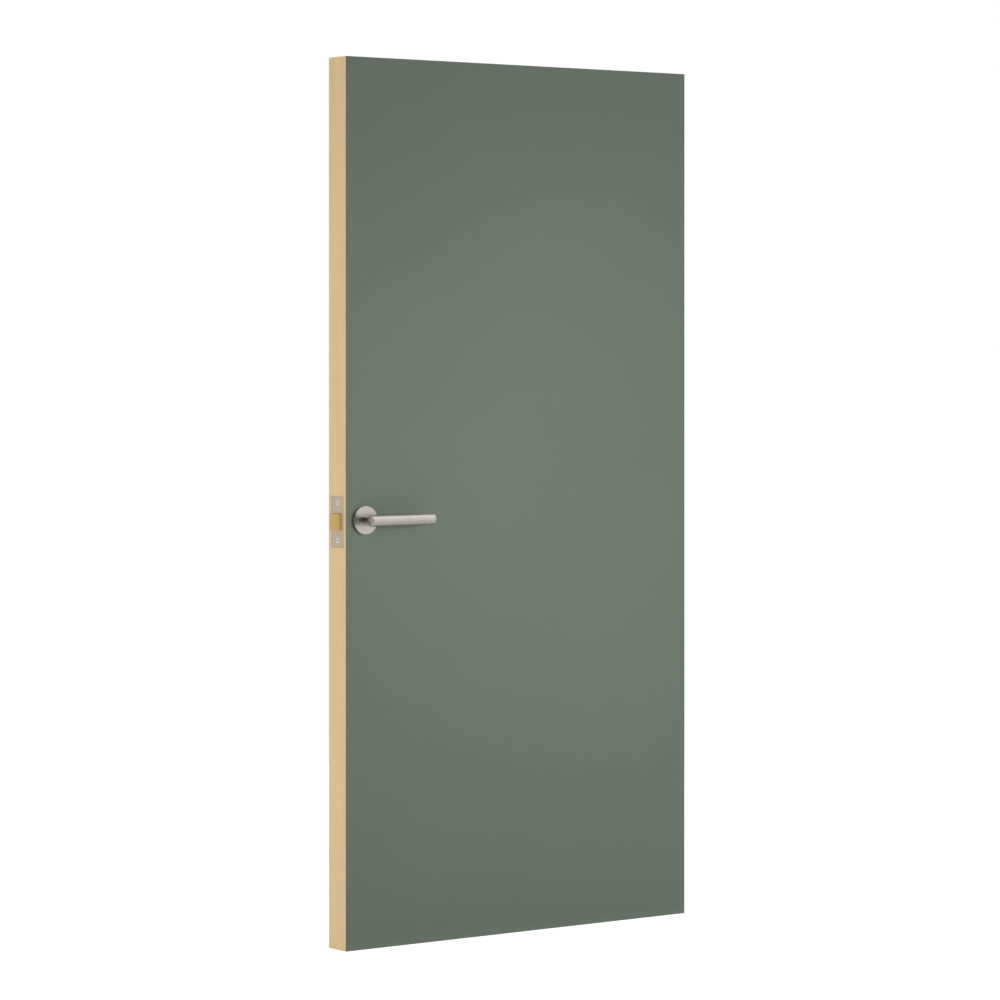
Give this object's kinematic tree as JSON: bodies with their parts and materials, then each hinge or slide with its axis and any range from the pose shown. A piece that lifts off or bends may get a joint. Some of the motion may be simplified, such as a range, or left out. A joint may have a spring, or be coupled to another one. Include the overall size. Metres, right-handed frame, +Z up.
{
  "type": "laminate interior door leaf",
  "caption": "Flush interior door leaf faced in green laminate, with tan edge lippings, a brass latch, a lever pair on round roses and lift-off hinge halves.",
  "frame": {"origin": "centre of the lower hinge plate's outer face: at that hinge's mid-height, in the plane of the hinge edge, halfway through the leaf", "axes": "+X across the leaf, out of the hinge edge; +Y through the leaf from its front to its back, which is the side it opens to; +Z up"},
  "size_m": [0.9804, 0.1734, 1.972],
  "materials": {
    "laminate": "satin grey-green decorative laminate",
    "fibreboard": "bare dense fibreboard edge",
    "framing_timber": "bare softwood",
    "core_board": "bare flaxboard",
    "edge_lipping": "smooth tan lipping with a faint grain",
    "satin_steel": "satin brushed stainless steel",
    "plate_steel": "satin stainless steel",
    "hinge_steel": "satin stainless steel",
    "zinc_plated_steel": "zinc plated",
    "brass": "satin brass"
  },
  "bodies": {
    "door_leaf": {"front_laminate": "laminate", "back_laminate": "laminate", "front_skin_board": "fibreboard", "back_skin_board": "fibreboard", "lock_stile": "framing_timber", "hinge_stile": "framing_timber", "top_rail": "framing_timber", "bottom_rail": "framing_timber", "core_board": "core_board", "lock_edge_lipping": "edge_lipping", "hinge_edge_lipping": "edge_lipping", "latch_case": "zinc_plated_steel", "latch_faceplate": "plate_steel", "front_rose": "satin_steel", "back_rose": "satin_steel", "lower_hinge": "hinge_steel", "middle_hinge": "hinge_steel", "upper_hinge": "hinge_steel"},
    "lever_set": {"front_lever_neck": "satin_steel", "front_lever_grip": "satin_steel", "back_lever_neck": "satin_steel", "back_lever_grip": "satin_steel", "spindle": "zinc_plated_steel", "latch_follower": "zinc_plated_steel"},
    "latch": {"latch_bolt": "brass"}
  },
  "joints": [
    {"name": "lever_turn", "type": "hinge", "parent": "door_leaf", "child": "lever_set", "pos_m": [-0.9105, 0, 0.7185], "axis": [0, 1, 0], "range_deg": [0, 44], "stiffness_Nm_per_rad": 1.6, "springref_deg": -68.75},
    {"name": "latch_slide", "type": "slide", "parent": "door_leaf", "child": "latch", "axis": [1, 0, 0], "range_m": [0, 0.0094]}
  ],
  "couplings": [
    {"joint": "latch_slide", "follows": "lever_turn", "m_per_rad": 0.01224}
  ]
}
